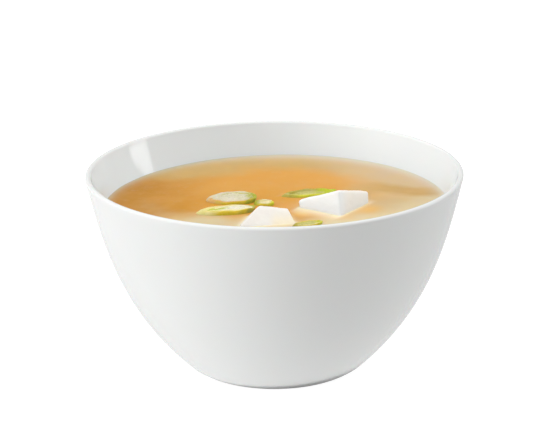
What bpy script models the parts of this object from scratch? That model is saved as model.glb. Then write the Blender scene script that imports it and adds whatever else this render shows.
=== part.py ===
"""A round white porcelain soup bowl filled with cloudy amber broth, in metres.

Two pieces of white tofu and five bias-cut slices of spring onion float in the broth.
The origin is the middle of the foot, on the surface that the bowl stands on. +Z is up,
and -Y is the side of the bowl that faces the viewer. The bowl is a turned solid whose
outer and inner walls are cubic curves. The broth fills it up to its level, with a raised
edge where it wets the wall, and is cut clear round everything that floats in it.
"""

import math

import bmesh
import bpy
from mathutils import Matrix, Vector, noise

MM = 0.001

# Bowl
RIM_RADIUS = 75.0 * MM
BOWL_HEIGHT = 80.0 * MM
LIP_THICKNESS = 2.2 * MM
WALL_LEAN_AT_LIP = math.radians(12.0)
INSIDE_LEAN_AT_LIP = math.radians(15.0)
WALL_RISE_AT_FOOT = math.radians(44.0)
WALL_PULL_AT_FOOT = 38.0 * MM
WALL_PULL_AT_LIP = 26.0 * MM
INSIDE_PULL_AT_FLOOR = 46.0 * MM
INSIDE_PULL_AT_LIP = 42.0 * MM
FLOOR_HEIGHT = 6.0 * MM
FOOT_RADIUS = 36.8 * MM
FOOT_RING_WIDTH = 3.6 * MM
FOOT_ROUNDING = 0.8 * MM
FOOT_EDGE_RISE = 0.16 * MM
FOOT_RECESS = 2.0 * MM
BOWL_SEGMENTS = 76
OUTSIDE_STEPS = 10
INSIDE_STEPS = 11
LIP_STEPS = 4

# Broth
BROTH_LEVEL = 64.9 * MM
BROTH_CLIMB = 1.0 * MM
BROTH_CLIMB_WIDTH = 4.0 * MM
BROTH_CLIMB_STEPS = 3
GAP = 0.3 * MM
WELD_DISTANCE = 0.003 * MM

# Tofu
TOFU_CUTS = 3
TOFU_SHORTEST_CUT = 2.7 * MM
TOFU_ROUNDING = 0.9 * MM
TOFU_UNEVENNESS = 0.35 * MM
TOFU_GRAIN = 9.0 * MM

# Spring onion
SLICE_SEGMENTS = 24
SLICE_WAVE = 0.4 * MM
SEED_STEP = 17.0

# A cut through one side of a hollow leaf: (share of the slice's half width, share of its height).
LEAF_SECTION = (
    (0.95, 0.0), (1.0, 0.22), (1.0, 0.76), (0.94, 1.0),
    (0.78, 1.0), (0.71, 0.78), (0.71, 0.22), (0.78, 0.0),
)
# From the middle below to the middle above, through a stem's leaf layer, groove and core.
STEM_SECTION = (
    (0.0, 0.0), (0.9, 0.0), (1.0, 0.24), (1.0, 0.8), (0.94, 1.0), (0.82, 1.0),
    (0.75, 0.84), (0.68, 0.84), (0.61, 1.04), (0.34, 1.04), (0.22, 0.92), (0.0, 0.92),
)

# Each piece of tofu: width, depth and height in mm, the share of its height where the sides
# start to slope, the top's share of the width and depth, the top's shift in mm, the
# middle in mm, its turn about Z, how far it leans and the heading it leans to, in degrees.
TOFU_PIECES = {
    "tofu_1": dict(size=(23.0, 14.0, 17.0), shoulder=0.5, top_share=0.49, top_shift=(1.3, 0.0),
                   middle=(-2.7, -21.8, 61.65), turn=4.1, lean=23.3, lean_to=77.2),
    "tofu_2": dict(size=(20.4, 19.4, 19.0), shoulder=0.3, top_share=1.05, top_shift=(-1.5, -2.1),
                   middle=(24.2, -4.3, 59.4), turn=53.9, lean=26.4, lean_to=108.4),
}

# Each slice: its section, length, width and height in mm, the middle of its underside in mm,
# its turn about Z, its tip about its own width and about its own length, the sideways shift
# of its cut faces for each mm of height, the share by which its core is off the middle, and
# how pointed its ends are, from 0 for a plain oval.
ONION_SLICES = {
    "spring_onion_1": dict(section=STEM_SECTION, length=20.4, width=10.4, height=3.4,
                           place=(-18.5, 4.6, 63.4), turn=-5.0, pitch=-3.0, roll=8.0,
                           slant=0.6, off_middle=0.10, sharpness=0.0),
    "spring_onion_2": dict(section=STEM_SECTION, length=22.8, width=7.8, height=3.4,
                           place=(-20.6, -10.6, 63.2), turn=5.0, pitch=-1.5, roll=2.0,
                           slant=0.6, off_middle=0.22, sharpness=0.15),
    "spring_onion_3": dict(section=LEAF_SECTION, length=22.0, width=6.6, height=3.0,
                           place=(12.3, 10.3, 63.5), turn=9.0, pitch=-1.0, roll=6.0,
                           slant=0.8, off_middle=0.0, sharpness=0.3),
    "spring_onion_4": dict(section=LEAF_SECTION, length=12.2, width=4.4, height=2.2,
                           place=(11.6, -28.7, 63.7), turn=17.0, pitch=-1.0, roll=4.0,
                           slant=0.6, off_middle=0.0, sharpness=0.3),
    "spring_onion_5": dict(section=LEAF_SECTION, length=8.2, width=5.0, height=2.8,
                           place=(-5.0, -1.0, 63.5), turn=-16.0, pitch=-2.0, roll=6.0,
                           slant=0.4, off_middle=0.0, sharpness=0.3),
}

# Base colour (linear), roughness
PORCELAIN = ("porcelain", (0.83, 0.85, 0.82), 0.12)
BROTH = ("broth", (0.68, 0.39, 0.15), 0.1)
TOFU = ("tofu", (0.90, 0.87, 0.80), 0.45)
ONION = ("spring_onion", (0.40, 0.50, 0.07), 0.35)


def clear_scene():
    """Remove every object that the file opened with."""
    for old in list(bpy.data.objects):
        bpy.data.objects.remove(old, do_unlink=True)


def material(name, colour, roughness):
    """A plain non-metal material."""
    made = bpy.data.materials.new(name)
    made.use_nodes = True
    shader = made.node_tree.nodes["Principled BSDF"]
    shader.inputs["Base Color"].default_value = (*colour, 1.0)
    shader.inputs["Roughness"].default_value = roughness
    shader.inputs["Metallic"].default_value = 0.0
    return made


def add_object(name, solid, finish):
    """Turn a bmesh into a scene object with its material."""
    mesh = bpy.data.meshes.new(name)
    solid.to_mesh(mesh)
    solid.free()
    mesh.materials.append(finish)
    made = bpy.data.objects.new(name, mesh)
    bpy.context.scene.collection.objects.link(made)
    return made


def heading(angle):
    """The unit vector at this angle in a profile's plane of radius and height."""
    return Vector((math.cos(angle), math.sin(angle)))


def bezier(start, start_pull, end_pull, end, steps):
    """Points along a cubic curve, its two ends included."""
    points = []
    for step in range(steps + 1):
        t = step / steps
        u = 1.0 - t
        points.append(u**3 * start + 3 * u**2 * t * start_pull
                      + 3 * u * t**2 * end_pull + t**3 * end)
    return points


def outside_profile():
    """The outer wall from the foot's edge up to the lip."""
    start = Vector((FOOT_RADIUS, 0.0))
    end = Vector((RIM_RADIUS, BOWL_HEIGHT - LIP_THICKNESS / 2))
    down = -heading(math.pi / 2 - WALL_LEAN_AT_LIP)
    wall = bezier(start, start + WALL_PULL_AT_FOOT * heading(WALL_RISE_AT_FOOT),
                  end + WALL_PULL_AT_LIP * down, end, OUTSIDE_STEPS)
    eased_start = start + FOOT_ROUNDING * heading(WALL_RISE_AT_FOOT)
    return [eased_start] + wall[1:]


def inside_profile():
    """The inner wall from the middle of the floor up to the lip."""
    start = Vector((0.0, FLOOR_HEIGHT))
    end = Vector((RIM_RADIUS - LIP_THICKNESS, BOWL_HEIGHT - LIP_THICKNESS / 2))
    down = -heading(math.pi / 2 - INSIDE_LEAN_AT_LIP)
    return bezier(start, start + Vector((INSIDE_PULL_AT_FLOOR, 0.0)),
                  end + INSIDE_PULL_AT_LIP * down, end, INSIDE_STEPS)


def lip_profile():
    """The half round that joins the outer wall to the inner one, without its two ends."""
    radius = LIP_THICKNESS / 2
    middle = Vector((RIM_RADIUS - radius, BOWL_HEIGHT - radius))
    return [middle + radius * heading(math.pi * step / LIP_STEPS) for step in range(1, LIP_STEPS)]


def foot_profile():
    """The underside from its middle out to the foot ring's rounded edge."""
    ring_inside = FOOT_RADIUS - FOOT_ROUNDING - FOOT_RING_WIDTH
    return [
        Vector((0.0, FOOT_RECESS)),
        Vector((ring_inside - FOOT_RECESS, FOOT_RECESS)),
        Vector((ring_inside - FOOT_ROUNDING / 2, FOOT_ROUNDING)),
        Vector((ring_inside, 0.0)),
        Vector((FOOT_RADIUS - FOOT_ROUNDING, 0.0)),
        Vector((FOOT_RADIUS, FOOT_EDGE_RISE)),
    ]


def turned(profile):
    """A solid of revolution. The profile starts and ends on the axis."""
    solid = bmesh.new()
    corners = [solid.verts.new((point.x, 0.0, point.y)) for point in profile]
    edges = [solid.edges.new(pair) for pair in zip(corners, corners[1:])]
    bmesh.ops.spin(solid, geom=corners + edges, axis=(0, 0, 1), cent=(0, 0, 0),
                   steps=BOWL_SEGMENTS, angle=math.tau, use_merge=True)
    bmesh.ops.remove_doubles(solid, verts=solid.verts, dist=WELD_DISTANCE)
    bmesh.ops.recalc_face_normals(solid, faces=solid.faces)
    return solid


def bowl():
    """The bowl, turned from its foot up the outside, over the lip and down the inside."""
    return turned(foot_profile() + outside_profile() + lip_profile() + inside_profile()[::-1])


def inset(points, distance):
    """The same profile moved off the wall, towards the bowl's middle and up."""
    moved = []
    last = len(points) - 1
    for index, point in enumerate(points):
        along = points[min(index + 1, last)] - points[max(index - 1, 0)]
        moved.append(point + distance * Vector((-along.y, along.x)).normalized())
    moved[0].x = 0.0
    return moved


def broth():
    """The broth's full body: along the wall, over its raised edge, and flat to the middle."""
    edge_height = BROTH_LEVEL + BROTH_CLIMB
    wall = inset(inside_profile(), GAP)
    below = [point for point in wall if point.y < edge_height]
    above = wall[len(below)]
    share = (edge_height - below[-1].y) / (above.y - below[-1].y)
    edge = below[-1].lerp(above, share)
    slope = []
    for step in range(1, BROTH_CLIMB_STEPS + 1):
        inward = step / BROTH_CLIMB_STEPS
        slope.append(Vector((edge.x - BROTH_CLIMB_WIDTH * inward**2,
                             BROTH_LEVEL + BROTH_CLIMB * (1.0 - inward)**2)))
    return turned(below + [edge] + slope + [Vector((0.0, BROTH_LEVEL))])


def lean_matrix(lean, towards):
    """A rotation that leans something upright by an angle, towards a heading."""
    axis = Vector((-math.sin(towards), math.cos(towards), 0.0))
    return Matrix.Rotation(lean, 4, axis)


def roughen(solid, amount, grain, seed):
    """Push each point in or out a little, by a smooth noise."""
    shift = Vector((SEED_STEP * seed, 0.0, 0.0))
    solid.normal_update()
    moves = [vert.normal * amount * noise.noise(vert.co / grain + shift) for vert in solid.verts]
    for vert, move in zip(solid.verts, moves):
        vert.co += move


def slope_sides(solid, height, shoulder, top_share, top_shift):
    """Slope a block's sides from its shoulder to a smaller or larger top, off the middle."""
    shift = Vector((*top_shift, 0.0)) * MM
    for vert in solid.verts:
        level = vert.co.z / height + 0.5
        rise = max(0.0, (level - shoulder) / (1.0 - shoulder))
        share = 1.0 + (top_share - 1.0) * rise
        vert.co = Vector((vert.co.x * share, vert.co.y * share, vert.co.z)) + shift * rise


def tofu_piece(seed, size, shoulder, top_share, top_shift, middle, turn, lean, lean_to):
    """A block of tofu with soft edges, its sides sloping from its shoulder to its top."""
    solid = bmesh.new()
    bmesh.ops.create_cube(solid, size=1.0)
    bmesh.ops.scale(solid, vec=Vector(size) * MM, verts=solid.verts)
    bmesh.ops.bevel(solid, geom=list(solid.edges), offset=TOFU_ROUNDING, segments=2,
                    profile=0.5, affect="EDGES")
    long_edges = [edge for edge in solid.edges if edge.calc_length() > TOFU_SHORTEST_CUT]
    bmesh.ops.subdivide_edges(solid, edges=long_edges, cuts=TOFU_CUTS, use_grid_fill=True)
    slope_sides(solid, size[2] * MM, shoulder, top_share, top_shift)
    bmesh.ops.triangulate(solid, faces=solid.faces)
    roughen(solid, TOFU_UNEVENNESS, TOFU_GRAIN, seed)
    place = Matrix.Translation(Vector(middle) * MM)
    leaned = lean_matrix(math.radians(lean), math.radians(lean_to))
    solid.transform(place @ leaned @ Matrix.Rotation(math.radians(turn), 4, "Z"))
    bmesh.ops.recalc_face_normals(solid, faces=solid.faces)
    return solid


def slice_point(share, level, angle, seed, piece):
    """One point of a slice before it is placed, at a share of its radius and of its height."""
    width_share = math.sin(angle) * abs(math.sin(angle)) ** piece["sharpness"]
    core_shift = piece["off_middle"] * (1.0 - share)
    wave = noise.noise(Vector((2.0 * math.cos(angle), 2.0 * math.sin(angle), SEED_STEP * seed)))
    height = level * piece["height"] * MM + SLICE_WAVE * wave * share
    along = (share * math.cos(angle) + core_shift) * piece["length"] * MM / 2
    across = share * width_share * piece["width"] * MM / 2
    return Vector((along + piece["slant"] * height, across, height))


def onion_slice(seed, piece):
    """A bias-cut slice: its section carried round a long pointed oval."""
    solid = bmesh.new()
    section = piece["section"]
    hollow = section[0][0] > 0.0
    rings = []
    for share, level in section:
        ring = [solid.verts.new(slice_point(share, level, math.tau * turn / SLICE_SEGMENTS, seed, piece))
                for turn in range(SLICE_SEGMENTS)]
        rings.append(ring)
    pairs = list(zip(rings, rings[1:]))
    if hollow:
        pairs.append((rings[-1], rings[0]))
    for lower, upper in pairs:
        for turn in range(SLICE_SEGMENTS):
            after = (turn + 1) % SLICE_SEGMENTS
            solid.faces.new((lower[turn], lower[after], upper[after], upper[turn]))
    bmesh.ops.remove_doubles(solid, verts=solid.verts, dist=WELD_DISTANCE)
    bmesh.ops.triangulate(solid, faces=solid.faces)
    tip = Matrix.Rotation(math.radians(piece["pitch"]), 4, "Y")
    roll = Matrix.Rotation(math.radians(piece["roll"]), 4, "X")
    turned_round = Matrix.Rotation(math.radians(piece["turn"]), 4, "Z")
    solid.transform(Matrix.Translation(Vector(piece["place"]) * MM) @ turned_round @ tip @ roll)
    bmesh.ops.recalc_face_normals(solid, faces=solid.faces)
    return solid


def cut_pocket(body, floating):
    """Cut a piece's place out of the broth, a gap wider than the piece all round."""
    grown = bmesh.new()
    grown.from_mesh(floating.data)
    grown.normal_update()
    moves = [vert.normal * GAP * vert.calc_shell_factor() for vert in grown.verts]
    for vert, move in zip(grown.verts, moves):
        vert.co += move
    cutter = add_object(floating.name + "_pocket", grown, floating.active_material)
    cutter.hide_render = True
    cutter.display_type = "WIRE"
    pocket = body.modifiers.new(cutter.name, "BOOLEAN")
    pocket.operation = "DIFFERENCE"
    pocket.object = cutter


def build():
    """Make the bowl, the broth and what floats in it."""
    clear_scene()
    add_object("bowl", bowl(), material(*PORCELAIN))
    tofu_finish = material(*TOFU)
    onion_finish = material(*ONION)
    floating = []
    for seed, (name, piece) in enumerate(TOFU_PIECES.items()):
        floating.append(add_object(name, tofu_piece(seed, **piece), tofu_finish))
    for seed, (name, piece) in enumerate(ONION_SLICES.items()):
        floating.append(add_object(name, onion_slice(seed, piece), onion_finish))
    soup = add_object("soup", broth(), material(*BROTH))
    for piece in floating:
        cut_pocket(soup, piece)


build()
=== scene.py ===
import math

import bmesh
import bpy
from mathutils import Matrix, Vector, noise
from mathutils.bvhtree import BVHTree


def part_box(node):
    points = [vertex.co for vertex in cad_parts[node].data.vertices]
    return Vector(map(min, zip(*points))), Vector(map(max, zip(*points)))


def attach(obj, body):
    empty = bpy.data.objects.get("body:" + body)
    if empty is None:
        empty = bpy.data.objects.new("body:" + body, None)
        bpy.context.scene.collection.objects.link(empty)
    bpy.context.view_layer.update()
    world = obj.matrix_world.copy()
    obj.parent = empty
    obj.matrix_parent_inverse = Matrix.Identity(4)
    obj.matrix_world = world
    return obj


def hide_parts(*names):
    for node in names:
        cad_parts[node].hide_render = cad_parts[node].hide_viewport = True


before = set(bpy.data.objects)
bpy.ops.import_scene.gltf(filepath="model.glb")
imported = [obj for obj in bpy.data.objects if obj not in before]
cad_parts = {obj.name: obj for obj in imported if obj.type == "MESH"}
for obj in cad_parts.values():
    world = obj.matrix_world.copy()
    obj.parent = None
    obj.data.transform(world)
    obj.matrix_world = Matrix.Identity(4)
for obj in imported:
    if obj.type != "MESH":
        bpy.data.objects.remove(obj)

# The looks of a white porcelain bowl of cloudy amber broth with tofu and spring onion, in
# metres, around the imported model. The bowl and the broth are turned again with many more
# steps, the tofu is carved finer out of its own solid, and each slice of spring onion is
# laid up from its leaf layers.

MM = 0.001
BODY = "root"

# ---------------------------------------------------------------- sizes, from the frame
_, BOWL_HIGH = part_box("bowl")
_, BROTH_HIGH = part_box("soup")
RIM_RADIUS = BOWL_HIGH.x
BOWL_HEIGHT = BOWL_HIGH.z

# ---------------------------------------------------------------- values of shapes and looks

# The bowl's walls, lip and foot, as on the solids
LIP_THICKNESS = 2.2 * MM
WALL_LEAN_AT_LIP = math.radians(12.0)
INSIDE_LEAN_AT_LIP = math.radians(15.0)
WALL_RISE_AT_FOOT = math.radians(44.0)
WALL_PULL_AT_FOOT = 38.0 * MM
WALL_PULL_AT_LIP = 26.0 * MM
INSIDE_PULL_AT_FLOOR = 46.0 * MM
INSIDE_PULL_AT_LIP = 42.0 * MM
FLOOR_HEIGHT = 6.0 * MM
FOOT_RADIUS = 36.8 * MM
FOOT_RING_WIDTH = 3.6 * MM
FOOT_ROUNDING = 0.8 * MM
FOOT_RECESS = 2.0 * MM
TURN_SEGMENTS = 288
WALL_STEPS = 56
ROUND_STEPS = 10
# The angle of straight down in a profile's plane
STRAIGHT_DOWN = 1.5 * math.pi

# In all the materials, a noise has its grains to the metre, its detail and, for some, its
# roughness, a relief has its height and its strength, and a share has the range of values
# that it runs over and, for some, the two shares at its ends
NOISE_ROUGHNESS = 0.5
NOISE_MIDDLE = 0.5
MOST_OF_NOISE = (0.3, 0.7)
MIDDLE = (0.0, 0.0, 0.0)
ACROSS = (1.0, 0.0, 0.0)
UP = (0.0, 0.0, 1.0)
LEVEL = (1.0, 1.0, 0.0)
WHITE = (1.0, 1.0, 1.0, 1.0)

# Porcelain: the glaze starts between two heights, over the bare ring that the bowl stands on
GLAZE_TONES = ((0.835, 0.850, 0.838), (0.865, 0.875, 0.862))
BARE_TONE = (0.74, 0.71, 0.66)
GLAZE_START = (0.2 * MM, 0.7 * MM)
GLAZE_CLOUDS = (18.0, 3.0)
GLAZE_FLOW = (55.0, 1.0)
GLAZE_FLOW_RELIEF = (0.05 * MM, 0.5)
BARE_GRIT = (2600.0, 2.0)
BARE_GRIT_RELIEF = (0.02 * MM, 0.2)
GLAZE_ROUGHNESS = (0.06, 0.11)
BARE_ROUGHNESS = 0.55
PORCELAIN = {"IOR": 1.5, "Subsurface Weight": 0.06, "Subsurface Scale": 1.5 * MM}

# Broth: its climb up the wall and up the toppings, each with how far out it reaches
BROTH_CLIMB = 1.0 * MM
BROTH_LEVEL = BROTH_HIGH.z - BROTH_CLIMB
BROTH_CLIMB_REACH = 1.6 * MM
BROTH_INTO_WALL = 0.25 * MM
BROTH_SURFACE_RINGS = 128
TOPPING_CLIMB = 0.25 * MM
TOPPING_CLIMB_REACH = 1.3 * MM
# As if the bowl stood a little out of level, the broth rises by this share towards the right
BROTH_TILT = 0.008
RIPPLE_HEIGHT = 0.10 * MM
RIPPLE_LENGTH = 16.0 * MM
# Where each piece of tofu pales the broth: its node, how far the glow trails off to one side,
# its reach and its strength
HALOS = (
    ("tofu_1", (0.0, 0.0, 0.0), 0.8 * MM, 1.0),
    ("tofu_2", (0.0, 0.0, 0.0), 4.0 * MM, 0.25),
    ("tofu_2", (-5.0 * MM, -6.5 * MM, 0.0), 1.0 * MM, 1.0),
    ("tofu_2", (3.5 * MM, 3.5 * MM, 0.0), 1.4 * MM, 0.6),
)
HALO_STEPS = 10
# How far the wall pales the broth on the left and on the right, where one turns to the other
# and how many times as far it reaches at the back
WALL_GLOW_LEFT = 1.35 * MM
WALL_GLOW_RIGHT = 2.1 * MM
WALL_GLOW_TURN = (-50.0 * MM, 10.0 * MM)
WALL_GLOW_AT_BACK = 1.9

# Where the broth's tones turn: along the bowl's width, backwards or out from a middle, all
# shifted by how far the broth has drifted
BROTH_DRIFT = 26.0 * MM
BROTH_STIR = (30.0, 3.0)
BROTH_BACKWARDS = (0.2, 1.0, 0.0)
BROTH_LEFT_TURN = (-62.0 * MM, -14.0 * MM)
# Towards the right the broth is paler: partly its own cloudiness, partly painted reflected light
BROTH_RIGHT_TURN = (22.0 * MM, 50.0 * MM)
# In front, a crescent along the lip is paler: partly the broth's own cloudiness, partly painted reflected
# light
BROTH_CRESCENT_MIDDLE = (0.0, 50.0 * MM, 0.0)
BROTH_CRESCENT_OUT = (64.0 * MM, 79.0 * MM)
BROTH_CRESCENT_ACROSS = (-60.0 * MM, -30.0 * MM)
# At the back the broth takes a painted reflection of the grey-white back wall
BROTH_BACK_OUT = (42.0 * MM, 58.0 * MM)
BROTH_BACK_BEHIND = (16.0 * MM, 34.0 * MM)
BROTH_BACK_WALL_REFLECTION_TURN = (10.0 * MM, 45.0 * MM)
BROTH_SWIRL_FRONT = (14.0 * MM, 21.0 * MM)
BROTH_SWIRL_BACK = (36.0 * MM, 28.0 * MM)
BROTH_SWIRL_ACROSS = (26.0 * MM, 44.0 * MM)
BROTH_DEEP = (0.49, 0.205, 0.012)
BROTH_ORANGE = (0.70, 0.325, 0.050)
BROTH_CLOUD = (0.76, 0.42, 0.120)
# The painted reflection of the back wall over the broth, on the left and on the right
BROTH_BACK_WALL_REFLECTION = (0.57, 0.36, 0.115)
BROTH_BACK_WALL_REFLECTION_RIGHT = (0.63, 0.45, 0.250)
BROTH_SWIRL = (0.55, 0.335, 0.105)
# Paler tones on the right and in front, partly the broth's own cloudiness and partly painted reflected
# light; the first also tints the wisps
BROTH_PALE_AND_REFLECTED = (0.63, 0.45, 0.230)
BROTH_FRONT_CLOUD_AND_REFLECTION = (0.70, 0.57, 0.335)
# Brighter patches: each one's middle, how far it fades over and its tone
BROTH_PATCHES = (
    ((36.5 * MM, -9.0 * MM, 0.0), 9.0 * MM, (0.80, 0.45, 0.105)),
    ((10.5 * MM, -13.0 * MM, 0.0), 7.0 * MM, (0.86, 0.51, 0.145)),
)
BROTH_BY_WALL_LEFT = (0.62, 0.58, 0.47)
BROTH_BY_WALL_RIGHT = (0.78, 0.69, 0.55)
BROTH_BY_TOFU = (1.0, 0.86, 0.61)
# The tone of the light that it sends back to what stands over it
BROTH_BOUNCE = (0.42, 0.41, 0.38)
BROTH_CLOUDS = (75.0, 5.0, 0.6)
BROTH_CLOUD_SHARE = (0.35, 0.7, 0.0, 0.2)
BROTH_WISPS = (260.0, 4.0, 0.6)
BROTH_WISP_SHARE = (0.5, 0.8, 0.0, 0.15)
BROTH_FILM = (900.0, 3.0)
BROTH_FILM_RELIEF = (0.01 * MM, 0.3)
BROTH = {"Roughness": 0.05, "IOR": 1.1, "Subsurface Weight": 0.35, "Subsurface Scale": 4.0 * MM,
         "Subsurface Radius": (1.0, 0.45, 0.12)}

# Tofu
TOFU_VOXEL = 0.36 * MM
TOFU_WELD = TOFU_VOXEL / 100
TOFU_SMOOTHINGS = 4
TOFU_SMOOTHING = 0.5
# Each piece: where its tone turns from the one on its left to the one on its right, how high
# the broth soaks it and how much on either side
TOFU_TONES_AND_SHADE = {
    "tofu_1": dict(edge=-1.0 * MM, left=(0.93, 0.885, 0.83), right=(0.94, 0.895, 0.83),
                   soaked_up_to=5.5 * MM, soaked_left=0.05, soaked_right=0.9),
    # On the second piece the two tones are a lit and a shaded copy of the curd: painted light on its left
    # face and painted warm shade on its right
    "tofu_2": dict(edge=27.5 * MM, left=(1.0, 0.995, 0.98), right=(1.0, 0.94, 0.86),
                   soaked_up_to=2.4 * MM, soaked_left=0.45, soaked_right=0.45),
}
TOFU_EDGE_BLEND = 2.0 * MM
TOFU_MOTTLE = (0.985, 0.98, 0.975)
SOAK_UNEVENNESS = 1.2 * MM
TOFU_CLOUDS = (260.0, 3.0)
TOFU_PORES = (1500.0, 3.0, 0.6)
TOFU_PORE_RELIEF = (0.12 * MM, 0.35)
TOFU_ROUGHNESS = (0.30, 0.5)
TOFU = {"IOR": 1.38, "Subsurface Weight": 0.15, "Subsurface Scale": 2.5 * MM,
        "Subsurface Radius": (1.0, 0.8, 0.6)}
# Each layer of unevenness: its height and its grain
TOFU_RELIEF = ((0.12 * MM, 4.0 * MM), (0.05 * MM, 1.3 * MM), (0.03 * MM, 0.6 * MM))

# Spring onion
SLICE_SEGMENTS = 120
ONION_VEINS = (1100.0, 3.0)
ONION_VEIN_RELIEF = (0.06 * MM, 0.3)
ONION_VEIN_SHARE = (0.5, 0.75, 0.0, 0.6)
ONION_VEIN_TINT = (0.78, 0.86, 0.62)
ONION_PATCHES = (300.0, 3.0)
ONION_PATCH_SHARE = (0.4, 0.7)
ONION_PATCH_TINT = (1.10, 1.08, 1.25)
ONION_ROUGHNESS = (0.2, 0.35)
ONION = {"IOR": 1.38, "Subsurface Weight": 0.35, "Subsurface Scale": 1.2 * MM,
         "Subsurface Radius": (1.0, 0.9, 0.3)}

# ---------------------------------------------------------------- shader nodes

# A Mix node's sockets for each kind of value: its first and second input and its output
MIX_SOCKETS = {"FLOAT": (2, 3, 0), "VECTOR": (4, 5, 1), "RGBA": (6, 7, 2)}


def fill(tree, node, values):
    """Give a node its inputs. A socket among the values is linked, and anything else is set."""
    for key, value in values.items():
        if isinstance(value, bpy.types.NodeSocket):
            tree.links.new(value, node.inputs[key])
        else:
            node.inputs[key].default_value = value


def add_node(tree, kind, values=None, **settings):
    """Add a shader node with these inputs and settings."""
    node = tree.nodes.new(kind)
    for key, value in settings.items():
        setattr(node, key, value)
    fill(tree, node, values or {})
    return node


def new_material(name):
    """A material, its node tree and its main shader."""
    material = bpy.data.materials.new(name)
    material.use_nodes = True
    return material, material.node_tree, material.node_tree.nodes["Principled BSDF"]


def object_place(tree):
    """The socket of a point's place on its object."""
    return add_node(tree, "ShaderNodeTexCoord").outputs["Object"]


def noise_at(tree, place, scale, detail, roughness=NOISE_ROUGHNESS):
    """The value of a noise with this many grains to the metre."""
    values = {"Vector": place, "Scale": scale, "Detail": detail, "Roughness": roughness}
    return add_node(tree, "ShaderNodeTexNoise", values).outputs["Fac"]


def spread(tree, value, low, high, to_low=0.0, to_high=1.0):
    """Map a range of values to another, clamped and smooth at both ends."""
    values = {"Value": value, "From Min": low, "From Max": high, "To Min": to_low, "To Max": to_high}
    return add_node(tree, "ShaderNodeMapRange", values, interpolation_type="SMOOTHSTEP").outputs["Result"]


def rgba(colour):
    """A colour with its alpha. A socket stays as it is."""
    return colour if isinstance(colour, bpy.types.NodeSocket) else (*colour, 1.0)


def mixed(tree, share, first, second, kind="RGBA", blend="MIX"):
    """A mix of two colours, or of two values or normals where the kind says so."""
    first_input, second_input, output = MIX_SOCKETS[kind]
    if kind == "RGBA":
        first, second = rgba(first), rgba(second)
    values = {0: share, first_input: first, second_input: second}
    return add_node(tree, "ShaderNodeMix", values, data_type=kind, blend_type=blend).outputs[output]


def attribute(tree, name):
    """The value that the mesh holds under this name."""
    return add_node(tree, "ShaderNodeAttribute", attribute_name=name).outputs["Fac"]


def math_node(tree, operation, first, second=0.0):
    """A sum, product or other operation on two values."""
    node = add_node(tree, "ShaderNodeMath", {0: first, 1: second}, operation=operation)
    return node.outputs[0]


def weighed(tree, place, weights):
    """A weighted sum of a point's coordinates."""
    values = {0: place, 1: weights}
    return add_node(tree, "ShaderNodeVectorMath", values, operation="DOT_PRODUCT").outputs["Value"]


def far_from(tree, place, middle):
    """How far a point is from the vertical line through a middle."""
    flat = add_node(tree, "ShaderNodeVectorMath", {0: place, 1: LEVEL}, operation="MULTIPLY")
    values = {0: flat.outputs["Vector"], 1: middle}
    return add_node(tree, "ShaderNodeVectorMath", values, operation="DISTANCE").outputs["Value"]


def bump(tree, height, distance, strength):
    """A normal from a height that runs from 0 to 1 over this distance."""
    values = {"Height": height, "Distance": distance, "Strength": strength}
    return add_node(tree, "ShaderNodeBump", values).outputs["Normal"]


# ---------------------------------------------------------------- materials

def porcelain_material():
    """White glazed porcelain, bare and matt on the ring that it stands on."""
    material, tree, shader = new_material("glazed_porcelain")
    place = object_place(tree)
    glazed = spread(tree, weighed(tree, place, UP), *GLAZE_START)
    clouds = noise_at(tree, place, *GLAZE_CLOUDS)
    flow = noise_at(tree, place, *GLAZE_FLOW)
    grit = noise_at(tree, place, *BARE_GRIT)
    colour = mixed(tree, glazed, BARE_TONE, mixed(tree, clouds, *GLAZE_TONES))
    glaze_rough = spread(tree, clouds, *MOST_OF_NOISE, *GLAZE_ROUGHNESS)
    rough = mixed(tree, glazed, BARE_ROUGHNESS, glaze_rough, "FLOAT")
    gritty = bump(tree, grit, *BARE_GRIT_RELIEF)
    wavy = bump(tree, flow, *GLAZE_FLOW_RELIEF)
    normal = mixed(tree, glazed, gritty, wavy, "VECTOR")
    fill(tree, shader, {**PORCELAIN, "Base Color": colour, "Roughness": rough, "Normal": normal})
    return material


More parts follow.
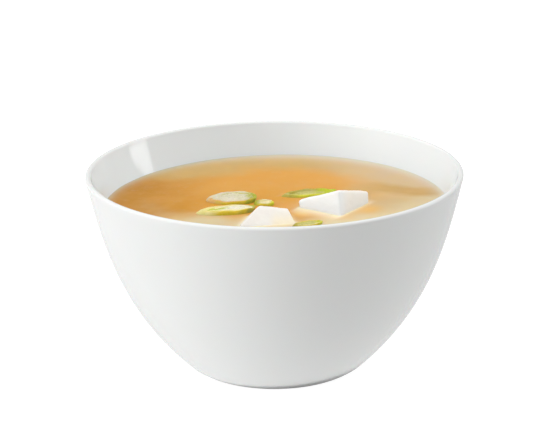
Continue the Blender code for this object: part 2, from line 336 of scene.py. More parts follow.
def broth_tone(tree, place):
    """Orange in the middle, deeper to the left, with a painted reflection of the back wall at the back, and
    paler right and in front, partly by painted reflected light.
    """
    stir = math_node(tree, "SUBTRACT", noise_at(tree, place, *BROTH_STIR), NOISE_MIDDLE)
    drift = math_node(tree, "MULTIPLY", stir, BROTH_DRIFT)
    across = math_node(tree, "ADD", weighed(tree, place, ACROSS), drift)
    behind = math_node(tree, "ADD", weighed(tree, place, BROTH_BACKWARDS), drift)
    out = math_node(tree, "ADD", far_from(tree, place, MIDDLE), drift)
    ahead = math_node(tree, "ADD", far_from(tree, place, BROTH_CRESCENT_MIDDLE), drift)
    tone = mixed(tree, spread(tree, across, *BROTH_LEFT_TURN), BROTH_DEEP, BROTH_ORANGE)
    # Paler on the right, partly the broth's own cloudiness and partly painted reflected light
    tone = mixed(tree, spread(tree, across, *BROTH_RIGHT_TURN), tone, BROTH_PALE_AND_REFLECTED)
    # A crescent along the front takes a tone that is partly the broth's own cloudiness and partly painted
    # reflected light
    crescent = math_node(tree, "MULTIPLY", spread(tree, ahead, *BROTH_CRESCENT_OUT),
                         spread(tree, across, *BROTH_CRESCENT_ACROSS))
    tone = mixed(tree, crescent, tone, BROTH_FRONT_CLOUD_AND_REFLECTION)
    # Painted reflection of the back wall over the broth at the back
    back = math_node(tree, "MULTIPLY", spread(tree, out, *BROTH_BACK_OUT),
                     spread(tree, behind, *BROTH_BACK_BEHIND))
    back_wall_reflection = mixed(tree, spread(tree, across, *BROTH_BACK_WALL_REFLECTION_TURN), BROTH_BACK_WALL_REFLECTION, BROTH_BACK_WALL_REFLECTION_RIGHT)
    tone = mixed(tree, back, tone, back_wall_reflection)
    swirl = math_node(tree, "MULTIPLY", spread(tree, behind, *BROTH_SWIRL_FRONT),
                      spread(tree, behind, *BROTH_SWIRL_BACK))
    swirl = math_node(tree, "MULTIPLY", swirl, spread(tree, across, *BROTH_SWIRL_ACROSS))
    tone = mixed(tree, swirl, tone, BROTH_SWIRL)
    for middle, reach, patch in BROTH_PATCHES:
        tone = mixed(tree, spread(tree, far_from(tree, place, middle), reach, 0.0), tone, patch)
    return tone


def broth_material():
    """Cloudy amber broth: its tone drifts across the bowl, carries painted reflected light at the back, on
    the right and in front, and pales by the tofu and the wall.
    """
    material, tree, shader = new_material("amber_broth")
    place = object_place(tree)
    cloud = spread(tree, noise_at(tree, place, *BROTH_CLOUDS), *BROTH_CLOUD_SHARE)
    wisp = spread(tree, noise_at(tree, place, *BROTH_WISPS), *BROTH_WISP_SHARE)
    clouded = mixed(tree, cloud, broth_tone(tree, place), BROTH_CLOUD)
    settled = mixed(tree, wisp, clouded, BROTH_PALE_AND_REFLECTED)
    side = spread(tree, weighed(tree, place, ACROSS), *WALL_GLOW_TURN)
    pale = mixed(tree, side, BROTH_BY_WALL_LEFT, BROTH_BY_WALL_RIGHT)
    by_wall = mixed(tree, attribute(tree, "near_wall"), settled, pale)
    colour = mixed(tree, attribute(tree, "near_tofu"), by_wall, BROTH_BY_TOFU)
    bounced = add_node(tree, "ShaderNodeLightPath").outputs["Is Diffuse Ray"]
    colour = mixed(tree, bounced, colour, BROTH_BOUNCE)
    film = bump(tree, noise_at(tree, place, *BROTH_FILM), *BROTH_FILM_RELIEF)
    fill(tree, shader, {**BROTH, "Base Color": colour, "Normal": film})
    return material


def tofu_material(node):
    """Moist white curd with a faint mottling and fine pores, peach where the broth soaks it; on the second
    piece warmer on its right, where shade is painted.
    """
    material, tree, shader = new_material(node + "_curd")
    place = object_place(tree)
    mottle = noise_at(tree, place, *TOFU_CLOUDS)
    pores = noise_at(tree, place, *TOFU_PORES)
    tones = TOFU_TONES_AND_SHADE[node]
    across = weighed(tree, place, ACROSS)
    turn = (tones["edge"] - TOFU_EDGE_BLEND, tones["edge"] + TOFU_EDGE_BLEND)
    # Left and right tones; on the second piece they are lit and shaded copies, the right one painted shade
    curd = mixed(tree, spread(tree, across, *turn), tones["left"], tones["right"])
    curd = mixed(tree, spread(tree, mottle, *MOST_OF_NOISE), curd, TOFU_MOTTLE, blend="MULTIPLY")
    height = math_node(tree, "ADD", weighed(tree, place, UP),
                       math_node(tree, "MULTIPLY", mottle, SOAK_UNEVENNESS))
    soaked = math_node(tree, "MULTIPLY",
                       spread(tree, height, BROTH_LEVEL + tones["soaked_up_to"], BROTH_LEVEL),
                       spread(tree, across, *turn, tones["soaked_left"], tones["soaked_right"]))
    fill(tree, shader, {**TOFU, "Base Color": mixed(tree, soaked, curd, BROTH_BY_TOFU),
                        "Roughness": spread(tree, pores, *MOST_OF_NOISE, *TOFU_ROUGHNESS),
                        "Normal": bump(tree, pores, *TOFU_PORE_RELIEF)})
    return material


def onion_material():
    """Leaf and stem layers: the mesh holds each band's tone, and veins run through it."""
    material, tree, shader = new_material("spring_onion_layers")
    place = object_place(tree)
    tone = add_node(tree, "ShaderNodeAttribute", attribute_name="tone").outputs["Color"]
    veins = noise_at(tree, place, *ONION_VEINS)
    patches = noise_at(tree, place, *ONION_PATCHES)
    veined = mixed(tree, spread(tree, veins, *ONION_VEIN_SHARE), tone, ONION_VEIN_TINT, blend="MULTIPLY")
    colour = mixed(tree, spread(tree, patches, *ONION_PATCH_SHARE), veined, ONION_PATCH_TINT,
                   blend="MULTIPLY")
    fill(tree, shader, {**ONION, "Base Color": colour,
                        "Roughness": spread(tree, veins, *MOST_OF_NOISE, *ONION_ROUGHNESS),
                        "Normal": bump(tree, veins, *ONION_VEIN_RELIEF)})
    return material


def floor_material():
    """A plain white studio floor that glows. Mirrored in the glaze, it is greyer to the right."""
    material, tree, shader = new_material("studio_floor")
    across = weighed(tree, object_place(tree), ACROSS)
    mirrored = spread(tree, across, -FLOOR_FADE, FLOOR_FADE, FLOOR_MIRRORED_LEFT, FLOOR_MIRRORED_RIGHT)
    ray = add_node(tree, "ShaderNodeLightPath").outputs["Is Glossy Ray"]
    fill(tree, shader, {**FLOOR, "Emission Strength": mixed(tree, ray, FLOOR_GLOW, mirrored, "FLOAT")})
    return material


def plain_material(name, values):
    """A material that is the same all over."""
    material, tree, shader = new_material(name)
    fill(tree, shader, values)
    return material


# ---------------------------------------------------------------- shapes

def heading(angle):
    """The unit vector at this angle in a profile's plane of radius and height."""
    return Vector((math.cos(angle), math.sin(angle)))


def bezier(start, start_pull, end_pull, end, steps):
    """Points along a cubic curve, its two ends included."""
    points = []
    for step in range(steps + 1):
        t = step / steps
        u = 1.0 - t
        points.append(u**3 * start + 3 * u**2 * t * start_pull
                      + 3 * u * t**2 * end_pull + t**3 * end)
    return points


def arc(middle, radius, start, end, steps):
    """Points along a round, its two ends included."""
    return [middle + radius * heading(start + (end - start) * step / steps) for step in range(steps + 1)]


def outside_profile():
    """The outer wall from the foot's edge up to the lip."""
    start = Vector((FOOT_RADIUS, 0.0))
    end = Vector((RIM_RADIUS, BOWL_HEIGHT - LIP_THICKNESS / 2))
    down = -heading(math.pi / 2 - WALL_LEAN_AT_LIP)
    wall = bezier(start, start + WALL_PULL_AT_FOOT * heading(WALL_RISE_AT_FOOT),
                  end + WALL_PULL_AT_LIP * down, end, WALL_STEPS)
    return [point for point in wall if (point - start).length > FOOT_ROUNDING]


def inside_profile():
    """The inner wall from the middle of the floor up to the lip."""
    start = Vector((0.0, FLOOR_HEIGHT))
    end = Vector((RIM_RADIUS - LIP_THICKNESS, BOWL_HEIGHT - LIP_THICKNESS / 2))
    down = -heading(math.pi / 2 - INSIDE_LEAN_AT_LIP)
    return bezier(start, start + Vector((INSIDE_PULL_AT_FLOOR, 0.0)),
                  end + INSIDE_PULL_AT_LIP * down, end, WALL_STEPS)


def lip_profile():
    """The half round that joins the outer wall to the inner one, without its two ends."""
    radius = LIP_THICKNESS / 2
    middle = Vector((RIM_RADIUS - radius, BOWL_HEIGHT - radius))
    return arc(middle, radius, 0.0, math.pi, ROUND_STEPS)[1:-1]


def foot_profile():
    """The underside from its middle out over the foot ring to its rounded outer edge."""
    ring_inside = FOOT_RADIUS - FOOT_ROUNDING - FOOT_RING_WIDTH
    inner_corner = Vector((ring_inside, FOOT_ROUNDING / 2))
    outer_corner = Vector((FOOT_RADIUS - FOOT_ROUNDING, FOOT_ROUNDING))
    across = [Vector((0.0, FOOT_RECESS)), Vector((ring_inside / 2, FOOT_RECESS))]
    slope = bezier(Vector((ring_inside - FOOT_RECESS - FOOT_ROUNDING, FOOT_RECESS)),
                   Vector((ring_inside - FOOT_ROUNDING, FOOT_RECESS)),
                   Vector((ring_inside - FOOT_ROUNDING, FOOT_RECESS / 2)),
                   inner_corner - Vector((FOOT_ROUNDING / 2, 0.0)), ROUND_STEPS)
    inner_edge = arc(inner_corner, FOOT_ROUNDING / 2, math.pi, STRAIGHT_DOWN, ROUND_STEPS)[1:]
    outer_edge = arc(outer_corner, FOOT_ROUNDING, STRAIGHT_DOWN, STRAIGHT_DOWN + WALL_RISE_AT_FOOT,
                     ROUND_STEPS)
    return across + slope + inner_edge + outer_edge


def add_object(name, solid, material):
    """Make an object of a bmesh."""
    mesh = bpy.data.meshes.new(name)
    solid.to_mesh(mesh)
    solid.free()
    mesh.materials.append(material)
    made = bpy.data.objects.new(name, mesh)
    bpy.context.scene.collection.objects.link(made)
    return made


def add_piece(name, solid, material, node):
    """Make a smooth piece of a bmesh. It rides on the model's body and stands for a node."""
    bmesh.ops.recalc_face_normals(solid, faces=solid.faces)
    piece = add_object(name, solid, material)
    piece.data.shade_smooth()
    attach(piece, BODY)
    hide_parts(node)
    return piece


def skin(solid, rings):
    """Join rings of points with faces, each ring closed. A ring of one point is a pole."""
    made = [[solid.verts.new(point) for point in ring] for ring in rings]
    for lower, upper in zip(made, made[1:]):
        count = max(len(lower), len(upper))
        for turn in range(count):
            after = (turn + 1) % count
            corners = [lower[turn % len(lower)], lower[after % len(lower)],
                       upper[after % len(upper)], upper[turn % len(upper)]]
            solid.faces.new(list(dict.fromkeys(corners)))
    return made


def turned_rings(profile, segments):
    """The rings of a solid of revolution. A profile point on the axis becomes a pole."""
    rings = []
    for point in profile:
        count = 1 if point.x <= 0.0 else segments
        rings.append([Vector((point.x * math.cos(math.tau * turn / count),
                              point.x * math.sin(math.tau * turn / count), point.y))
                      for turn in range(count)])
    return rings


def make_bowl():
    """The bowl, turned from its foot up the outside, over the lip and down the inside."""
    solid = bmesh.new()
    profile = foot_profile() + outside_profile() + lip_profile() + inside_profile()[::-1]
    skin(solid, turned_rings(profile, TURN_SEGMENTS))
    return add_piece("bowl_porcelain", solid, porcelain_material(), "bowl")


# ---------------------------------------------------------------- tofu

def carved(node):
    """A node's solid as an even, fine mesh."""
    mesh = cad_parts[node].data.copy()
    block = bpy.data.objects.new(node + "_block", mesh)
    bpy.context.scene.collection.objects.link(block)
    weld = block.modifiers.new("weld", "WELD")
    weld.merge_threshold = TOFU_WELD
    remesh = block.modifiers.new("remesh", "REMESH")
    remesh.mode = "VOXEL"
    remesh.voxel_size = TOFU_VOXEL
    graph = bpy.context.evaluated_depsgraph_get()
    solid = bmesh.new()
    solid.from_object(block, graph)
    bpy.data.objects.remove(block, do_unlink=True)
    return solid


def make_tofu(node, seed):
    """A block of curd with a soft, uneven, finely pitted surface."""
    solid = carved(node)
    for _ in range(TOFU_SMOOTHINGS):
        bmesh.ops.smooth_vert(solid, verts=solid.verts, factor=TOFU_SMOOTHING,
                              use_axis_x=True, use_axis_y=True, use_axis_z=True)
    solid.normal_update()
    moves = []
    for vert in solid.verts:
        height = sum(amount * noise.noise(vert.co / grain + Vector((seed, 0.0, 0.0)))
                     for amount, grain in TOFU_RELIEF)
        moves.append(vert.normal * height)
    for vert, move in zip(solid.verts, moves):
        vert.co += move
    return add_piece(node + "_curd", solid, tofu_material(node), node)


# ---------------------------------------------------------------- spring onion

# Each slice, close to the one on the solids: length, width and height in mm, the middle of
# its underside in mm, its turn, pitch and roll in degrees, the sideways shift of its faces for
# each unit of height, how far its core sits off the middle, as a share of half its length, and
# how pointed its ends are, from 0 for a plain oval
ONION_SLICES = {
    "spring_onion_1": dict(length=20.4, width=10.4, height=3.4, place=(-18.5, 4.6, 63.4), turn=-5.0,
                           pitch=-3.0, roll=8.0, slant=0.6, off_middle=0.10, sharpness=0.0),
    "spring_onion_2": dict(length=22.8, width=7.8, height=3.4, place=(-20.6, -10.6, 63.2), turn=5.0,
                           pitch=-1.5, roll=2.0, slant=0.6, off_middle=0.55, sharpness=0.15),
    "spring_onion_3": dict(length=22.0, width=6.6, height=3.0, place=(12.3, 10.3, 63.5), turn=9.0,
                           pitch=-1.0, roll=6.0, slant=0.8, off_middle=0.0, sharpness=0.3),
    "spring_onion_4": dict(length=12.2, width=4.4, height=2.2, place=(11.6, -28.7, 64.1), turn=17.0,
                           pitch=-1.0, roll=4.0, slant=0.6, off_middle=0.0, sharpness=0.3),
    "spring_onion_5": dict(length=8.2, width=5.0, height=2.8, place=(-5.0, -1.0, 63.5), turn=-16.0,
                           pitch=-2.0, roll=6.0, slant=0.4, off_middle=0.0, sharpness=0.3),
}

# A cut across one half of each kind of slice, from the middle of its underside out over its
# skin to the middle of its top: share of the radius, share of the height and the band that
# the point's colour comes from
STEM_SECTION = (
    (0.0, 0.0, "skin"), (0.6, 0.0, "skin"), (0.94, 0.0, "skin"), (1.0, 0.14, "skin"), (1.02, 0.45, "skin"),
    (1.0, 0.78, "skin"), (0.97, 0.93, "skin"), (0.93, 1.0, "rim"), (0.88, 1.01, "rim"), (0.84, 0.96, "rim"),
    (0.81, 0.90, "flesh"), (0.78, 0.90, "flesh"), (0.75, 0.97, "flesh"), (0.72, 1.01, "flesh"),
    (0.68, 1.0, "groove"), (0.64, 0.93, "groove"), (0.60, 0.93, "groove"), (0.56, 1.0, "core"),
    (0.46, 1.04, "core"), (0.33, 1.04, "core"), (0.30, 0.99, "core"), (0.27, 1.02, "core"),
    (0.15, 1.04, "core"), (0.0, 1.04, "core"),
)
LEAF_SECTION = (
    (0.0, 0.0, "skin"), (0.6, 0.0, "skin"), (0.94, 0.0, "skin"), (1.0, 0.14, "skin"), (1.02, 0.45, "skin"),
    (1.0, 0.78, "skin"), (0.97, 0.93, "skin"), (0.93, 1.0, "rim"), (0.86, 1.01, "rim"), (0.79, 0.97, "rim"),
    (0.75, 0.90, "flesh"), (0.72, 0.80, "flesh"), (0.68, 0.76, "flesh"), (0.62, 0.79, "flesh"),
    (0.52, 0.80, "flesh"), (0.46, 0.72, "groove"), (0.40, 0.70, "groove"), (0.2, 0.72, "core"),
    (0.0, 0.72, "core"),
)
SLICE_SECTIONS = {"spring_onion_1": STEM_SECTION, "spring_onion_2": STEM_SECTION,
                  "spring_onion_3": LEAF_SECTION, "spring_onion_4": LEAF_SECTION,
                  "spring_onion_5": LEAF_SECTION}
# The tones that the bands take
TONES = {
    "white": (0.85, 0.80, 0.58),
    "cream": (0.86, 0.76, 0.46),
    "pale": (0.70, 0.65, 0.46),
    "lemon": (0.84, 0.74, 0.31),
    "straw": (0.62, 0.58, 0.20),
    "mist": (0.54, 0.50, 0.17),
    "lime": (0.66, 0.63, 0.045),
    "fresh": (0.50, 0.56, 0.03),
    "olive": (0.70, 0.52, 0.035),
    "moss": (0.46, 0.39, 0.07),
    "deep": (0.42, 0.44, 0.04),
    "amber": (0.74, 0.43, 0.14),
}
# The tones of each slice's bands at its left end, its middle and its right end, along its
# front side (near) and its back side (far)
SLICE_TONES = {
    "spring_onion_1": dict(
        near=dict(skin=("amber", "olive", "deep"), rim=("amber", "amber", "deep"),
                  flesh=("pale", "pale", "deep"), groove=("pale", "pale", "deep"),
                  core=("pale", "pale", "deep")),
        far=dict(skin=("pale", "pale", "deep"), rim=("pale", "pale", "deep"),
                 flesh=("pale", "pale", "deep"), groove=("pale", "mist", "deep"),
                 core=("pale", "pale", "deep"))),
    "spring_onion_2": dict(
        near=dict(skin=("lemon", "olive", "moss"), rim=("lemon", "olive", "moss"),
                  flesh=("lemon", "lemon", "white"), groove=("lemon", "cream", "white"),
                  core=("white", "white", "white")),
        far=dict(skin=("lemon", "cream", "deep"), rim=("lemon", "lemon", "deep"),
                 flesh=("lemon", "lemon", "deep"), groove=("lemon", "cream", "cream"),
                 core=("white", "white", "white"))),
    "spring_onion_3": dict(
        near=dict(skin=("moss", "lime", "fresh"), rim=("mist", "lime", "fresh"),
                  flesh=("mist", "straw", "fresh"), groove=("moss", "mist", "fresh"),
                  core=("mist", "straw", "fresh")),
        far=dict(skin=("moss", "moss", "fresh"), rim=("moss", "moss", "fresh"),
                 flesh=("moss", "mist", "fresh"), groove=("moss", "mist", "fresh"),
                 core=("mist", "straw", "fresh"))),
    "spring_onion_4": dict(
        near=dict(skin=("moss", "olive", "lime"), rim=("moss", "lemon", "lime"),
                  flesh=("moss", "mist", "lime"), groove=("moss", "mist", "fresh"),
                  core=("moss", "mist", "lime")),
        far=dict(skin=("moss", "moss", "fresh"), rim=("moss", "olive", "fresh"),
                 flesh=("moss", "straw", "lime"), groove=("moss", "mist", "fresh"),
                 core=("moss", "straw", "lime"))),
    "spring_onion_5": dict(
        near=dict(skin=("deep", "olive", "lime"), rim=("deep", "straw", "lime"),
                  flesh=("deep", "mist", "lime"), groove=("mist", "mist", "lime"),
                  core=("straw", "mist", "lime")),
        far=dict(skin=("deep", "pale", "lime"), rim=("deep", "cream", "lime"),
                 flesh=("mist", "cream", "lime"), groove=("mist", "cream", "lime"),
                 core=("cream", "cream", "lime"))),
}
# A green seam across a slice's top: where it starts and ends along the slice, where it lies
# across it and how wide it is, all as shares of the radius
SEAMS = {"spring_onion_2": dict(start=-0.80, end=0.12, across=-0.05, width=0.20)}
SEAM_BANDS = ("rim", "flesh", "groove", "core")
SEAM_WANDER = 0.5
# Where the tones turn, along a slice from its left end and to its right end, and across it
LEFT_END = (-0.85, -0.25)
RIGHT_END = (0.40, 0.85)
RIGHT_ENDS = {"spring_onion_3": (0.15, 0.6)}
BETWEEN_SIDES = (-0.175, 0.175)
SIDE_WANDER = 0.25
# How far the tones wander, and the grain of that noise and where it starts
TONE_WANDER = 0.3
WANDER_GRAIN = 3.0
WANDER_START = 4.0
# A slice's outline swells and its height waves by these shares, each by a noise of its own
SWELL = 0.05
SWELL_GRAIN = 1.7
WAVE = 0.12
WAVE_GRAIN = 2.6
WAVE_START = 9.0


def onion_place(spec):
    """The matrix from a slice's own frame to the bowl's."""
    tip = Matrix.Rotation(math.radians(spec["pitch"]), 4, "Y")
    roll = Matrix.Rotation(math.radians(spec["roll"]), 4, "X")
    turn = Matrix.Rotation(math.radians(spec["turn"]), 4, "Z")
    return Matrix.Translation(Vector(spec["place"]) * MM) @ turn @ tip @ roll


def noise_around(share, angle, grain, start):
    """A noise at a share of a slice's radius and an angle."""
    return noise.noise(Vector((grain * share * math.cos(angle), grain * share * math.sin(angle), start)))


def slice_point(share, level, angle, spec, seed):
    """A point of a slice in its own frame."""
    reach = share * (1.0 + SWELL * noise_around(1.0, angle, SWELL_GRAIN, seed))
    core_shift = spec["off_middle"] * (1.0 - share)
    along = (reach * math.cos(angle) + core_shift) * spec["length"] * MM / 2
    sine = math.sin(angle)
    across = reach * sine * abs(sine) ** spec["sharpness"] * spec["width"] * MM / 2
    wave = WAVE * noise_around(share, angle, WAVE_GRAIN, seed + WAVE_START)
    raised = level * spec["height"] * MM * (1.0 + wave)
    return Vector((along + spec["slant"] * raised, across, raised))


def smooth(value, low, high):
    """Ease from 0 to 1 over a range of values, clamped."""
    share = min(max((value - low) / (high - low), 0.0), 1.0)
    return share * share * (3.0 - 2.0 * share)


def side_tone(node, side, band, along):
    """The colour of a band on one side of a slice, at a share of the way along it."""
    left, middle, right = (Vector(TONES[tone]) for tone in SLICE_TONES[node][side][band])
    tone = left.lerp(middle, smooth(along, *LEFT_END))
    return tone.lerp(right, smooth(along, *RIGHT_ENDS.get(node, RIGHT_END)))


def seam_share(node, share, along, across):
    """How much of the green seam shows at a point of a slice's top."""
    seam = SEAMS[node]
    seen = along + ONION_SLICES[node]["off_middle"] * (1.0 - share)
    ends = (smooth(seen, seam["start"], seam["start"] + seam["width"])
            * smooth(-seen, -seam["end"], seam["width"] - seam["end"]))
    return ends * math.exp(-((across - seam["across"]) / seam["width"])**2)


def slice_tone(node, band, share, angle, seed):
    """The colour of a point of a slice, from its band's tones on either side and along it."""
    along = share * math.cos(angle)
    across = share * math.sin(angle)
    wander = TONE_WANDER * noise_around(share, angle, WANDER_GRAIN, seed + WANDER_START)
    near, far = (side_tone(node, side, band, along + wander) for side in ("near", "far"))
    tone = near.lerp(far, smooth(across + SIDE_WANDER * wander, *BETWEEN_SIDES))
    if node in SEAMS and band in SEAM_BANDS:
        seam = seam_share(node, share, along, across + SEAM_WANDER * wander)
        tone = tone.lerp(Vector(TONES["fresh"]), seam)
    return tone


def make_slice(node, seed, material):
    """A bias-cut slice of spring onion with its skin, rim and inner layers."""
    spec = ONION_SLICES[node]
    solid = bmesh.new()
    tone_layer = solid.verts.layers.float_color.new("tone")
    rings = []
    for share, level, _ in SLICE_SECTIONS[node]:
        count = 1 if share <= 0.0 else SLICE_SEGMENTS
        angles = [math.tau * turn / count for turn in range(count)]
        rings.append([slice_point(share, level, angle, spec, seed) for angle in angles])
    for (share, _, band), ring in zip(SLICE_SECTIONS[node], skin(solid, rings)):
        for turn, vert in enumerate(ring):
            tone = slice_tone(node, band, share, math.tau * turn / len(ring), seed)
            vert[tone_layer] = (*tone, 1.0)
    solid.transform(onion_place(spec))
    return add_piece(node + "_layers", solid, material, node)


# ---------------------------------------------------------------- broth

def tree_of(piece):
    """A search tree of a piece's faces."""
    return BVHTree.FromPolygons([vert.co for vert in piece.data.vertices],
                                [list(face.vertices) for face in piece.data.polygons])


def distance_to(tree, point):
    """How far a point is from the faces of a search tree."""
    *_, distance = tree.find_nearest(point)
    return distance


def nearness(trees, point, reach):
    """How near the nearest of some pieces is: 1 where it touches, fading over this reach."""
    return math.exp(-min(distance_to(tree, point) for tree in trees) / reach)


def trailing_glow(tree, point, move, reach):
    """The glow of a piece of tofu at a point, spread along a move and weaker further on."""
    total = 0.0
    weights = 0.0
    for step in range(HALO_STEPS if any(move) else 1):
        trail = step / HALO_STEPS
        moved = point - Vector(move) * trail
        nearest, normal, _, distance = tree.find_nearest(moved)
        outside = (moved - nearest).dot(normal) > 0.0
        total += (1.0 - trail) * (math.exp(-distance / reach) if outside else 1.0)
        weights += 1.0 - trail
    return total / weights


def halo(trees, point):
    """How much the tofu pales the broth at a point: the strongest of its glows there."""
    return max(strength * trailing_glow(trees[node], point, move, reach)
               for node, move, reach, strength in HALOS)


def wall_radius(height):
    """The inner wall's radius at a height."""
    profile = inside_profile()
    lower = [point for point in profile if point.y <= height][-1]
    upper = profile[profile.index(lower) + 1]
    return lower.lerp(upper, (height - lower.y) / (upper.y - lower.y)).x


def broth_wall():
    """The inner wall's profile up to the broth's level, moved just into the wall."""
    into = Vector((BROTH_INTO_WALL, -BROTH_INTO_WALL))
    wall = [point + into for point in inside_profile() if point.y < BROTH_LEVEL]
    wall[0].x = 0.0
    return wall


def surface_radii(edge_radius):
    """The radii of the surface's rings, from its edge in the wall to the middle."""
    inner = [edge_radius * ring / BROTH_SURFACE_RINGS for ring in range(BROTH_SURFACE_RINGS)]
    return [edge_radius, edge_radius - BROTH_INTO_WALL / 2] + inner[::-1]


def surface_rise(place, to_wall, wet_trees):
    """How far the surface rises at a place: up the wall and the toppings, and in ripples."""
    up_wall = BROTH_CLIMB * math.exp(-to_wall / BROTH_CLIMB_REACH)
    up_topping = TOPPING_CLIMB * nearness(wet_trees, place, TOPPING_CLIMB_REACH)
    ripple = RIPPLE_HEIGHT * noise.noise(place / RIPPLE_LENGTH)
    return up_wall + up_topping + ripple + BROTH_TILT * place.x


def wall_glow(place, to_wall, edge_radius):
    """How much the wall pales the broth at a place."""
    side = smooth(place.x, *WALL_GLOW_TURN)
    back = max(place.y, 0.0) / edge_radius
    reach = WALL_GLOW_LEFT + (WALL_GLOW_RIGHT - WALL_GLOW_LEFT) * side
    return math.exp(-to_wall / (reach * (1.0 + (WALL_GLOW_AT_BACK - 1.0) * back)))


def make_broth(tofu, slices):
    """The broth: its body along the wall, and a fine surface that climbs what it wets."""
    wall = broth_wall()
    edge_radius = wall_radius(BROTH_HIGH.z) + BROTH_INTO_WALL
    surface = [Vector((radius, BROTH_LEVEL)) for radius in surface_radii(edge_radius)]
    tofu_trees = {node: tree_of(piece) for node, piece in tofu.items()}
    wet_trees = list(tofu_trees.values()) + [tree_of(piece) for piece in slices]
    solid = bmesh.new()
    near_tofu = solid.verts.layers.float.new("near_tofu")
    near_wall = solid.verts.layers.float.new("near_wall")
    rings = skin(solid, turned_rings(wall + surface, TURN_SEGMENTS))
    for vert in (vert for ring in rings[len(wall):] for vert in ring):
        to_wall = edge_radius - vert.co.xy.length
        vert[near_tofu] = halo(tofu_trees, vert.co)
        vert[near_wall] = wall_glow(vert.co, to_wall, edge_radius)
        vert.co.z += surface_rise(vert.co, to_wall, wet_trees)
    return add_piece("broth", solid, broth_material(), "soup")


# ---------------------------------------------------------------- stage

# The floor: its size, its glow as it is seen and as the glaze mirrors it on the left and on
# the right, and how far out from the middle the mirrored glow changes
FLOOR_HALF = 4.0
FLOOR_GLOW = 0.95
FLOOR_MIRRORED_LEFT = 0.82
FLOOR_MIRRORED_RIGHT = 0.46
FLOOR_FADE = 0.3
FLOOR = {"Base Color": (0.15, 0.15, 0.15, 1.0), "Roughness": 0.9, "Emission Color": WHITE}
# The disc that shades the foot
SHADE_RADIUS = 39.6 * MM
SHADE_MIDDLE = Vector((2.4, 0.0, -0.1)) * MM
SHADE = {"Base Color": (0.1, 0.1, 0.1, 1.0), "Roughness": 1.0, "Specular IOR Level": 0.0}
# The camera: where it stands, what it aims at, how far it rolls, and its lens and sensor in mm
CAMERA_PLACE = Vector((0.0, -563.5, 246.1)) * MM
CAMERA_AIM = Vector((0.06, 0.0, 57.98)) * MM
CAMERA_ROLL = math.radians(-0.592)
CAMERA_LENS = 96.26
CAMERA_SENSOR = 36.0
# Each soft glow around the bowl: its azimuth and elevation in degrees, how narrow it is, and
# its strength
GLOWS = {
    "key_left": (195.0, 5.0, 30.0, 8.1),
    "key_left_high": (190.0, 38.0, 14.0, 1.6),
    "back_left_high": (150.0, 50.0, 14.0, 0.8),
    "key_right_high": (15.0, 38.0, 14.0, 3.3),
    "front_right": (20.0, 5.0, 14.0, 1.1),
    "low_right": (20.0, -25.0, 30.0, 1.0),
    "back": (90.0, 10.0, 4.0, 0.4),
    "front_left": (225.0, 10.0, 4.0, 0.3),
    "front_high": (270.0, 48.0, 4.0, 1.45),
    "above": (0.0, 90.0, 14.0, 1.2),
    "table": (0.0, -90.0, 16.0, 4.0),
    "table_left": (200.0, -60.0, 14.0, 0.9),
    "table_right": (0.0, -60.0, 14.0, 1.5),
    "table_front": (270.0, -60.0, 14.0, 0.7),
}
# How bright the room is where it is mirrored and where it is seen
ROOM_MIRRORED = 0.45
ROOM_SEEN = 1.05
# A box of light that the glaze mirrors: its azimuth and elevation in degrees, its width,
# height and distance, all as seen from a place on the inner wall, and its shader's values
BOX_SEEN_FROM = Vector((-57.0, 44.0, 75.5)) * MM
BOX_AZIMUTH = 9.5
BOX_ELEVATION = 8.0
BOX_WIDTH = math.radians(15.0)
BOX_HEIGHT = math.radians(12.0)
BOX_DISTANCE = 1.2
SOFT_BOX = {"Base Color": (0.0, 0.0, 0.0, 1.0), "Specular IOR Level": 0.0,
            "Emission Color": WHITE, "Emission Strength": 4.0}


def add_stage(name, solid, material):
    """Make an object of a bmesh for the stage, which casts no shadow."""
    piece = add_object(name, solid, material)
    piece.visible_shadow = False
    return piece


def rectangle(half_width, half_height):
    """A flat rectangle around the origin."""
    solid = bmesh.new()
    bmesh.ops.create_grid(solid, x_segments=1, y_segments=1, size=1.0)
    solid.transform(Matrix.Diagonal((half_width, half_height, 1.0, 1.0)))
    return solid


def make_floor():
    """A plain pale floor, seen and mirrored."""
    floor = add_stage("floor", rectangle(FLOOR_HALF, FLOOR_HALF), floor_material())
    floor.visible_diffuse = False


def make_shade():
    """An unseen disc close under the foot, which keeps the light from below off it."""
    solid = bmesh.new()
    bmesh.ops.create_circle(solid, cap_ends=True, segments=TURN_SEGMENTS, radius=SHADE_RADIUS,
                            matrix=Matrix.Translation(SHADE_MIDDLE))
    shade = add_stage("contact_shade", solid, plain_material("contact_shade", SHADE))
    shade.visible_shadow = True
    shade.visible_camera = False
    shade.visible_glossy = False


def direction(azimuth, elevation):
    """The unit vector that points this way, angles in degrees."""
    flat = heading(math.radians(azimuth)) * math.cos(math.radians(elevation))
    return Vector((flat.x, flat.y, math.sin(math.radians(elevation))))


def make_box():
    """A box of light that only shows mirrored in the glaze and the broth."""
    solid = rectangle(BOX_DISTANCE * math.tan(BOX_WIDTH / 2), BOX_DISTANCE * math.tan(BOX_HEIGHT / 2))
    box = add_stage("soft_box_right", solid, plain_material("soft_box", SOFT_BOX))
    way = direction(BOX_AZIMUTH, BOX_ELEVATION)
    box.location = BOX_SEEN_FROM + BOX_DISTANCE * way
    box.rotation_mode = "QUATERNION"
    box.rotation_quaternion = way.to_track_quat("-Z", "Y")
    box.visible_camera = False
    box.visible_diffuse = False


def glow_from(tree, way, azimuth, elevation, narrowness, strength):
    """How bright one soft glow is in the direction that a ray takes."""
    facing = math_node(tree, "MAXIMUM", weighed(tree, way, direction(azimuth, elevation)))
    return math_node(tree, "MULTIPLY", math_node(tree, "POWER", facing, narrowness), strength)


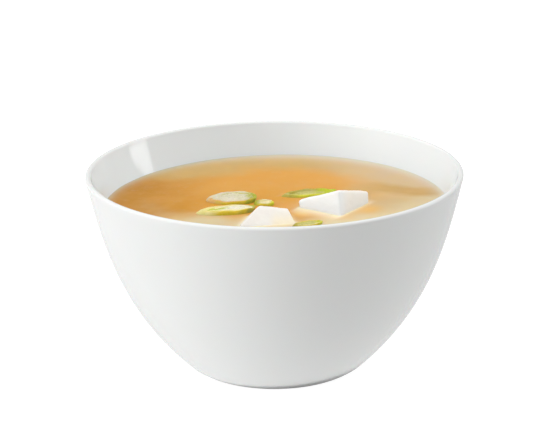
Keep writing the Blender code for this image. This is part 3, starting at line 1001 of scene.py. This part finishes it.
def background(tree, strength):
    """Plain white surroundings of this strength."""
    return add_node(tree, "ShaderNodeBackground", {"Color": WHITE, "Strength": strength}).outputs[0]


def mixed_shaders(tree, share, first, second):
    """A mix of two shaders."""
    return add_node(tree, "ShaderNodeMixShader", {0: share, 1: first, 2: second}).outputs[0]


def make_world():
    """A studio of soft glows around the bowl, plain white where it is seen behind it."""
    world = bpy.data.worlds.new("studio")
    world.use_nodes = True
    tree = world.node_tree
    tree.nodes.clear()
    way = add_node(tree, "ShaderNodeTexCoord").outputs["Generated"]
    light = 0.0
    for glow in GLOWS.values():
        light = math_node(tree, "ADD", glow_from(tree, way, *glow), light)
    ray = add_node(tree, "ShaderNodeLightPath").outputs
    room = mixed_shaders(tree, ray["Is Glossy Ray"], background(tree, light),
                         background(tree, ROOM_MIRRORED))
    room = mixed_shaders(tree, ray["Is Camera Ray"], room, background(tree, ROOM_SEEN))
    add_node(tree, "ShaderNodeOutputWorld", {"Surface": room})
    bpy.context.scene.world = world


def make_camera():
    """The camera, at the angle and distance from which the bowl is seen."""
    lens = bpy.data.cameras.new("camera")
    lens.lens = CAMERA_LENS
    lens.sensor_width = CAMERA_SENSOR
    camera = bpy.data.objects.new("camera", lens)
    camera.location = CAMERA_PLACE
    aim = (CAMERA_AIM - CAMERA_PLACE).to_track_quat("-Z", "Y").to_matrix()
    camera.rotation_mode = "QUATERNION"
    camera.rotation_quaternion = (aim @ Matrix.Rotation(CAMERA_ROLL, 3, "Z")).to_quaternion()
    bpy.context.scene.collection.objects.link(camera)
    bpy.context.scene.camera = camera


def build():
    """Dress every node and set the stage."""
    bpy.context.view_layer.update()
    make_bowl()
    leaf = onion_material()
    tofu = {node: make_tofu(node, seed) for seed, node in enumerate(TOFU_TONES_AND_SHADE)}
    slices = [make_slice(node, seed, leaf) for seed, node in enumerate(ONION_SLICES)]
    make_broth(tofu, slices)
    make_floor()
    make_shade()
    make_world()
    make_box()
    make_camera()
    bpy.context.scene.view_settings.view_transform = "Standard"


build()
